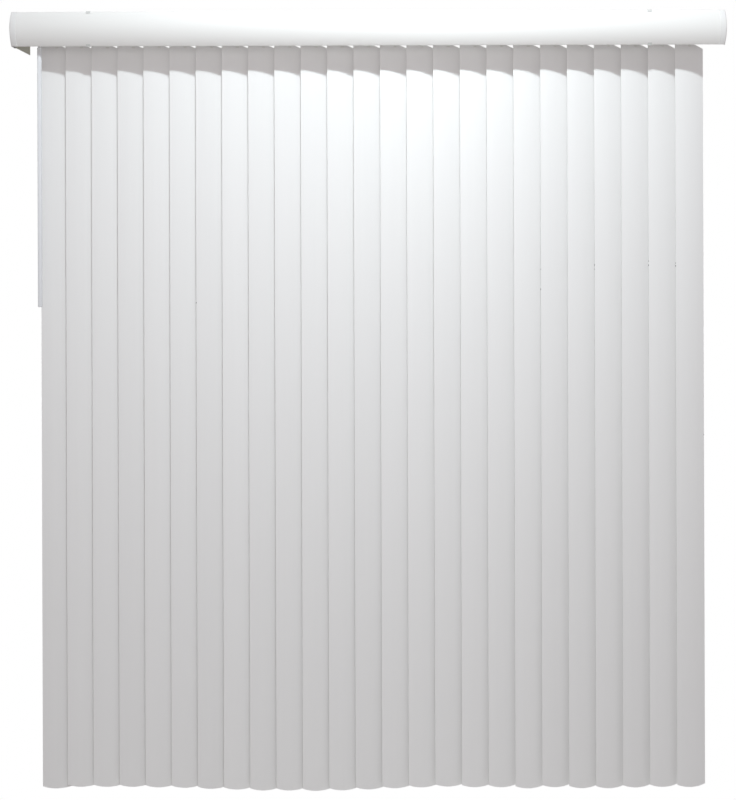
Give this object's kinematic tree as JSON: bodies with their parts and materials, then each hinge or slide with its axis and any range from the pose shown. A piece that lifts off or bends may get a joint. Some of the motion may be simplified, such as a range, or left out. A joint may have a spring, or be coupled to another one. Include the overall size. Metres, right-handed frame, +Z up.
{
  "type": "vertical blind",
  "caption": "White vinyl vertical blind with bowed, overlapping vanes on a wall-fixed headrail, behind a bowed valance with corner pieces, and a hanging wand that turns and draws it.",
  "frame": {"origin": "centre of the wall screw holes, on the wall, at the middle bracket", "axes": "+X to the right along the headrail as seen from the room, +Y back to the wall, +Z up"},
  "size_m": [2.011, 0.1382, 2.2215],
  "materials": {
    "white_vinyl": "smooth vinyl",
    "white_moulding": "moulded",
    "grey_moulding": "moulded",
    "clear_clip": "milky",
    "wand_plastic": "milky",
    "painted_rail": "satin paint",
    "zinc_steel": "zinc plated",
    "rod_metal": "drawn"
  },
  "bodies": {
    "frame": {"headrail": "painted_rail", "headrail_end_caps": "white_moulding", "mounting_brackets": "zinc_steel", "valance_front": "white_vinyl", "valance_corners": "white_moulding", "valance_return": "white_vinyl", "valance_clips": "clear_clip", "end_carrier": "grey_moulding"},
    "lead_carrier": {"lead_carrier": "grey_moulding"},
    "vane_01": {"vane_01": "white_vinyl"},
    "carrier_02": {"carrier_02": "grey_moulding"},
    "vane_02": {"vane_02": "white_vinyl"},
    "carrier_03": {"carrier_03": "grey_moulding"},
    "vane_03": {"vane_03": "white_vinyl"},
    "carrier_04": {"carrier_04": "grey_moulding"},
    "vane_04": {"vane_04": "white_vinyl"},
    "carrier_05": {"carrier_05": "grey_moulding"},
    "vane_05": {"vane_05": "white_vinyl"},
    "carrier_06": {"carrier_06": "grey_moulding"},
    "vane_06": {"vane_06": "white_vinyl"},
    "carrier_07": {"carrier_07": "grey_moulding"},
    "vane_07": {"vane_07": "white_vinyl"},
    "carrier_08": {"carrier_08": "grey_moulding"},
    "vane_08": {"vane_08": "white_vinyl"},
    "carrier_09": {"carrier_09": "grey_moulding"},
    "vane_09": {"vane_09": "white_vinyl"},
    "carrier_10": {"carrier_10": "grey_moulding"},
    "vane_10": {"vane_10": "white_vinyl"},
    "carrier_11": {"carrier_11": "grey_moulding"},
    "vane_11": {"vane_11": "white_vinyl"},
    "carrier_12": {"carrier_12": "grey_moulding"},
    "vane_12": {"vane_12": "white_vinyl"},
    "carrier_13": {"carrier_13": "grey_moulding"},
    "vane_13": {"vane_13": "white_vinyl"},
    "carrier_14": {"carrier_14": "grey_moulding"},
    "vane_14": {"vane_14": "white_vinyl"},
    "carrier_15": {"carrier_15": "grey_moulding"},
    "vane_15": {"vane_15": "white_vinyl"},
    "carrier_16": {"carrier_16": "grey_moulding"},
    "vane_16": {"vane_16": "white_vinyl"},
    "carrier_17": {"carrier_17": "grey_moulding"},
    "vane_17": {"vane_17": "white_vinyl"},
    "carrier_18": {"carrier_18": "grey_moulding"},
    "vane_18": {"vane_18": "white_vinyl"},
    "carrier_19": {"carrier_19": "grey_moulding"},
    "vane_19": {"vane_19": "white_vinyl"},
    "carrier_20": {"carrier_20": "grey_moulding"},
    "vane_20": {"vane_20": "white_vinyl"},
    "carrier_21": {"carrier_21": "grey_moulding"},
    "vane_21": {"vane_21": "white_vinyl"},
    "carrier_22": {"carrier_22": "grey_moulding"},
    "vane_22": {"vane_22": "white_vinyl"},
    "carrier_23": {"carrier_23": "grey_moulding"},
    "vane_23": {"vane_23": "white_vinyl"},
    "carrier_24": {"carrier_24": "grey_moulding"},
    "vane_24": {"vane_24": "white_vinyl"},
    "vane_25": {"vane_25": "white_vinyl"},
    "tilt_rod": {"tilt_rod": "rod_metal"},
    "wand_hook": {"wand_hook": "white_moulding"},
    "wand": {"wand": "wand_plastic"}
  },
  "joints": [
    {"name": "traverse", "type": "slide", "parent": "frame", "child": "lead_carrier", "axis": [1, 0, 0], "range_m": [0, 1.3674]},
    {"name": "vane_tilt", "type": "hinge", "parent": "lead_carrier", "child": "vane_01", "pos_m": [-0.8982, -0.058, -0.0205], "axis": [0, 0, 1], "range_deg": [0, 150]},
    {"name": "traverse_02", "type": "slide", "parent": "frame", "child": "carrier_02", "axis": [1, 0, 0], "range_m": [0, 1.31512]},
    {"name": "vane_tilt_02", "type": "hinge", "parent": "carrier_02", "child": "vane_02", "pos_m": [-0.82692, -0.058, -0.0205], "axis": [0, 0, 1], "range_deg": [0, 150]},
    {"name": "traverse_03", "type": "slide", "parent": "frame", "child": "carrier_03", "axis": [1, 0, 0], "range_m": [0, 1.25968]},
    {"name": "vane_tilt_03", "type": "hinge", "parent": "carrier_03", "child": "vane_03", "pos_m": [-0.75248, -0.058, -0.0205], "axis": [0, 0, 1], "range_deg": [0, 150]},
    {"name": "traverse_04", "type": "slide", "parent": "frame", "child": "carrier_04", "axis": [1, 0, 0], "range_m": [0, 1.20409]},
    {"name": "vane_tilt_04", "type": "hinge", "parent": "carrier_04", "child": "vane_04", "pos_m": [-0.67789, -0.058, -0.0205], "axis": [0, 0, 1], "range_deg": [0, 150]},
    {"name": "traverse_05", "type": "slide", "parent": "frame", "child": "carrier_05", "axis": [1, 0, 0], "range_m": [0, 1.14833]},
    {"name": "vane_tilt_05", "type": "hinge", "parent": "carrier_05", "child": "vane_05", "pos_m": [-0.60313, -0.058, -0.0205], "axis": [0, 0, 1], "range_deg": [0, 150]},
    {"name": "traverse_06", "type": "slide", "parent": "frame", "child": "carrier_06", "axis": [1, 0, 0], "range_m": [0, 1.09242]},
    {"name": "vane_tilt_06", "type": "hinge", "parent": "carrier_06", "child": "vane_06", "pos_m": [-0.52822, -0.058, -0.0205], "axis": [0, 0, 1], "range_deg": [0, 150]},
    {"name": "traverse_07", "type": "slide", "parent": "frame", "child": "carrier_07", "axis": [1, 0, 0], "range_m": [0, 1.03635]},
    {"name": "vane_tilt_07", "type": "hinge", "parent": "carrier_07", "child": "vane_07", "pos_m": [-0.45315, -0.058, -0.0205], "axis": [0, 0, 1], "range_deg": [0, 150]},
    {"name": "traverse_08", "type": "slide", "parent": "frame", "child": "carrier_08", "axis": [1, 0, 0], "range_m": [0, 0.98012]},
    {"name": "vane_tilt_08", "type": "hinge", "parent": "carrier_08", "child": "vane_08", "pos_m": [-0.37792, -0.058, -0.0205], "axis": [0, 0, 1], "range_deg": [0, 150]},
    {"name": "traverse_09", "type": "slide", "parent": "frame", "child": "carrier_09", "axis": [1, 0, 0], "range_m": [0, 0.92373]},
    {"name": "vane_tilt_09", "type": "hinge", "parent": "carrier_09", "child": "vane_09", "pos_m": [-0.30253, -0.058, -0.0205], "axis": [0, 0, 1], "range_deg": [0, 150]},
    {"name": "traverse_10", "type": "slide", "parent": "frame", "child": "carrier_10", "axis": [1, 0, 0], "range_m": [0, 0.86719]},
    {"name": "vane_tilt_10", "type": "hinge", "parent": "carrier_10", "child": "vane_10", "pos_m": [-0.22699, -0.058, -0.0205], "axis": [0, 0, 1], "range_deg": [0, 150]},
    {"name": "traverse_11", "type": "slide", "parent": "frame", "child": "carrier_11", "axis": [1, 0, 0], "range_m": [0, 0.81048]},
    {"name": "vane_tilt_11", "type": "hinge", "parent": "carrier_11", "child": "vane_11", "pos_m": [-0.15128, -0.058, -0.0205], "axis": [0, 0, 1], "range_deg": [0, 150]},
    {"name": "traverse_12", "type": "slide", "parent": "frame", "child": "carrier_12", "axis": [1, 0, 0], "range_m": [0, 0.75362]},
    {"name": "vane_tilt_12", "type": "hinge", "parent": "carrier_12", "child": "vane_12", "pos_m": [-0.07542, -0.058, -0.0205], "axis": [0, 0, 1], "range_deg": [0, 150]},
    {"name": "traverse_13", "type": "slide", "parent": "frame", "child": "carrier_13", "axis": [1, 0, 0], "range_m": [0, 0.6966]},
    {"name": "vane_tilt_13", "type": "hinge", "parent": "carrier_13", "child": "vane_13", "pos_m": [0.0006, -0.058, -0.0205], "axis": [0, 0, 1], "range_deg": [0, 150]},
    {"name": "traverse_14", "type": "slide", "parent": "frame", "child": "carrier_14", "axis": [1, 0, 0], "range_m": [0, 0.63942]},
    {"name": "vane_tilt_14", "type": "hinge", "parent": "carrier_14", "child": "vane_14", "pos_m": [0.07678, -0.058, -0.0205], "axis": [0, 0, 1], "range_deg": [0, 150]},
    {"name": "traverse_15", "type": "slide", "parent": "frame", "child": "carrier_15", "axis": [1, 0, 0], "range_m": [0, 0.58208]},
    {"name": "vane_tilt_15", "type": "hinge", "parent": "carrier_15", "child": "vane_15", "pos_m": [0.15312, -0.058, -0.0205], "axis": [0, 0, 1], "range_deg": [0, 150]},
    {"name": "traverse_16", "type": "slide", "parent": "frame", "child": "carrier_16", "axis": [1, 0, 0], "range_m": [0, 0.52459]},
    {"name": "vane_tilt_16", "type": "hinge", "parent": "carrier_16", "child": "vane_16", "pos_m": [0.22961, -0.058, -0.0205], "axis": [0, 0, 1], "range_deg": [0, 150]},
    {"name": "traverse_17", "type": "slide", "parent": "frame", "child": "carrier_17", "axis": [1, 0, 0], "range_m": [0, 0.46693]},
    {"name": "vane_tilt_17", "type": "hinge", "parent": "carrier_17", "child": "vane_17", "pos_m": [0.30627, -0.058, -0.0205], "axis": [0, 0, 1], "range_deg": [0, 150]},
    {"name": "traverse_18", "type": "slide", "parent": "frame", "child": "carrier_18", "axis": [1, 0, 0], "range_m": [0, 0.40912]},
    {"name": "vane_tilt_18", "type": "hinge", "parent": "carrier_18", "child": "vane_18", "pos_m": [0.38308, -0.058, -0.0205], "axis": [0, 0, 1], "range_deg": [0, 150]},
    {"name": "traverse_19", "type": "slide", "parent": "frame", "child": "carrier_19", "axis": [1, 0, 0], "range_m": [0, 0.35115]},
    {"name": "vane_tilt_19", "type": "hinge", "parent": "carrier_19", "child": "vane_19", "pos_m": [0.46005, -0.058, -0.0205], "axis": [0, 0, 1], "range_deg": [0, 150]},
    {"name": "traverse_20", "type": "slide", "parent": "frame", "child": "carrier_20", "axis": [1, 0, 0], "range_m": [0, 0.29302]},
    {"name": "vane_tilt_20", "type": "hinge", "parent": "carrier_20", "child": "vane_20", "pos_m": [0.53718, -0.058, -0.0205], "axis": [0, 0, 1], "range_deg": [0, 150]},
    {"name": "traverse_21", "type": "slide", "parent": "frame", "child": "carrier_21", "axis": [1, 0, 0], "range_m": [0, 0.23473]},
    {"name": "vane_tilt_21", "type": "hinge", "parent": "carrier_21", "child": "vane_21", "pos_m": [0.61447, -0.058, -0.0205], "axis": [0, 0, 1], "range_deg": [0, 150]},
    {"name": "traverse_22", "type": "slide", "parent": "frame", "child": "carrier_22", "axis": [1, 0, 0], "range_m": [0, 0.17629]},
    {"name": "vane_tilt_22", "type": "hinge", "parent": "carrier_22", "child": "vane_22", "pos_m": [0.69191, -0.058, -0.0205], "axis": [0, 0, 1], "range_deg": [0, 150]},
    {"name": "traverse_23", "type": "slide", "parent": "frame", "child": "carrier_23", "axis": [1, 0, 0], "range_m": [0, 0.11768]},
    {"name": "vane_tilt_23", "type": "hinge", "parent": "carrier_23", "child": "vane_23", "pos_m": [0.76952, -0.058, -0.0205], "axis": [0, 0, 1], "range_deg": [0, 150]},
    {"name": "traverse_24", "type": "slide", "parent": "frame", "child": "carrier_24", "axis": [1, 0, 0], "range_m": [0, 0.05892]},
    {"name": "vane_tilt_24", "type": "hinge", "parent": "carrier_24", "child": "vane_24", "pos_m": [0.84728, -0.058, -0.0205], "axis": [0, 0, 1], "range_deg": [0, 150]},
    {"name": "vane_tilt_25", "type": "hinge", "parent": "frame", "child": "vane_25", "pos_m": [0.9252, -0.058, -0.0205], "axis": [0, 0, 1], "range_deg": [0, 150]},
    {"name": "rod_turn", "type": "hinge", "parent": "frame", "child": "tilt_rod", "pos_m": [0, -0.0478, 0.0073], "axis": [1, 0, 0], "range_deg": [0, 1800]},
    {"name": "wand_turn", "type": "hinge", "parent": "lead_carrier", "child": "wand_hook", "pos_m": [-0.9368, -0.0945, -0.0205], "axis": [0, 0, 1], "range_deg": [0, 1800]},
    {"name": "wand_swing", "type": "hinge", "parent": "wand_hook", "child": "wand", "pos_m": [-0.9368, -0.0945, -0.05], "axis": [-1, 0, 0], "range_deg": [0, 22]}
  ],
  "couplings": [
    {"joint": "traverse_02", "follows": "traverse", "ratio": 0.96177},
    {"joint": "vane_tilt_02", "follows": "vane_tilt", "ratio": 1},
    {"joint": "traverse_03", "follows": "traverse", "ratio": 0.92123},
    {"joint": "vane_tilt_03", "follows": "vane_tilt", "ratio": 1},
    {"joint": "traverse_04", "follows": "traverse", "ratio": 0.88057},
    {"joint": "vane_tilt_04", "follows": "vane_tilt", "ratio": 1},
    {"joint": "traverse_05", "follows": "traverse", "ratio": 0.83979},
    {"joint": "vane_tilt_05", "follows": "vane_tilt", "ratio": 1},
    {"joint": "traverse_06", "follows": "traverse", "ratio": 0.7989},
    {"joint": "vane_tilt_06", "follows": "vane_tilt", "ratio": 1},
    {"joint": "traverse_07", "follows": "traverse", "ratio": 0.7579},
    {"joint": "vane_tilt_07", "follows": "vane_tilt", "ratio": 1},
    {"joint": "traverse_08", "follows": "traverse", "ratio": 0.71678},
    {"joint": "vane_tilt_08", "follows": "vane_tilt", "ratio": 1},
    {"joint": "traverse_09", "follows": "traverse", "ratio": 0.67554},
    {"joint": "vane_tilt_09", "follows": "vane_tilt", "ratio": 1},
    {"joint": "traverse_10", "follows": "traverse", "ratio": 0.63419},
    {"joint": "vane_tilt_10", "follows": "vane_tilt", "ratio": 1},
    {"joint": "traverse_11", "follows": "traverse", "ratio": 0.59272},
    {"joint": "vane_tilt_11", "follows": "vane_tilt", "ratio": 1},
    {"joint": "traverse_12", "follows": "traverse", "ratio": 0.55113},
    {"joint": "vane_tilt_12", "follows": "vane_tilt", "ratio": 1},
    {"joint": "traverse_13", "follows": "traverse", "ratio": 0.50943},
    {"joint": "vane_tilt_13", "follows": "vane_tilt", "ratio": 1},
    {"joint": "traverse_14", "follows": "traverse", "ratio": 0.46762},
    {"joint": "vane_tilt_14", "follows": "vane_tilt", "ratio": 1},
    {"joint": "traverse_15", "follows": "traverse", "ratio": 0.42569},
    {"joint": "vane_tilt_15", "follows": "vane_tilt", "ratio": 1},
    {"joint": "traverse_16", "follows": "traverse", "ratio": 0.38364},
    {"joint": "vane_tilt_16", "follows": "vane_tilt", "ratio": 1},
    {"joint": "traverse_17", "follows": "traverse", "ratio": 0.34148},
    {"joint": "vane_tilt_17", "follows": "vane_tilt", "ratio": 1},
    {"joint": "traverse_18", "follows": "traverse", "ratio": 0.2992},
    {"joint": "vane_tilt_18", "follows": "vane_tilt", "ratio": 1},
    {"joint": "traverse_19", "follows": "traverse", "ratio": 0.2568},
    {"joint": "vane_tilt_19", "follows": "vane_tilt", "ratio": 1},
    {"joint": "traverse_20", "follows": "traverse", "ratio": 0.21429},
    {"joint": "vane_tilt_20", "follows": "vane_tilt", "ratio": 1},
    {"joint": "traverse_21", "follows": "traverse", "ratio": 0.17166},
    {"joint": "vane_tilt_21", "follows": "vane_tilt", "ratio": 1},
    {"joint": "traverse_22", "follows": "traverse", "ratio": 0.12892},
    {"joint": "vane_tilt_22", "follows": "vane_tilt", "ratio": 1},
    {"joint": "traverse_23", "follows": "traverse", "ratio": 0.086064},
    {"joint": "vane_tilt_23", "follows": "vane_tilt", "ratio": 1},
    {"joint": "traverse_24", "follows": "traverse", "ratio": 0.04309},
    {"joint": "vane_tilt_24", "follows": "vane_tilt", "ratio": 1},
    {"joint": "vane_tilt_25", "follows": "vane_tilt", "ratio": 1},
    {"joint": "rod_turn", "follows": "vane_tilt", "ratio": 12},
    {"joint": "wand_turn", "follows": "vane_tilt", "ratio": 12}
  ]
}
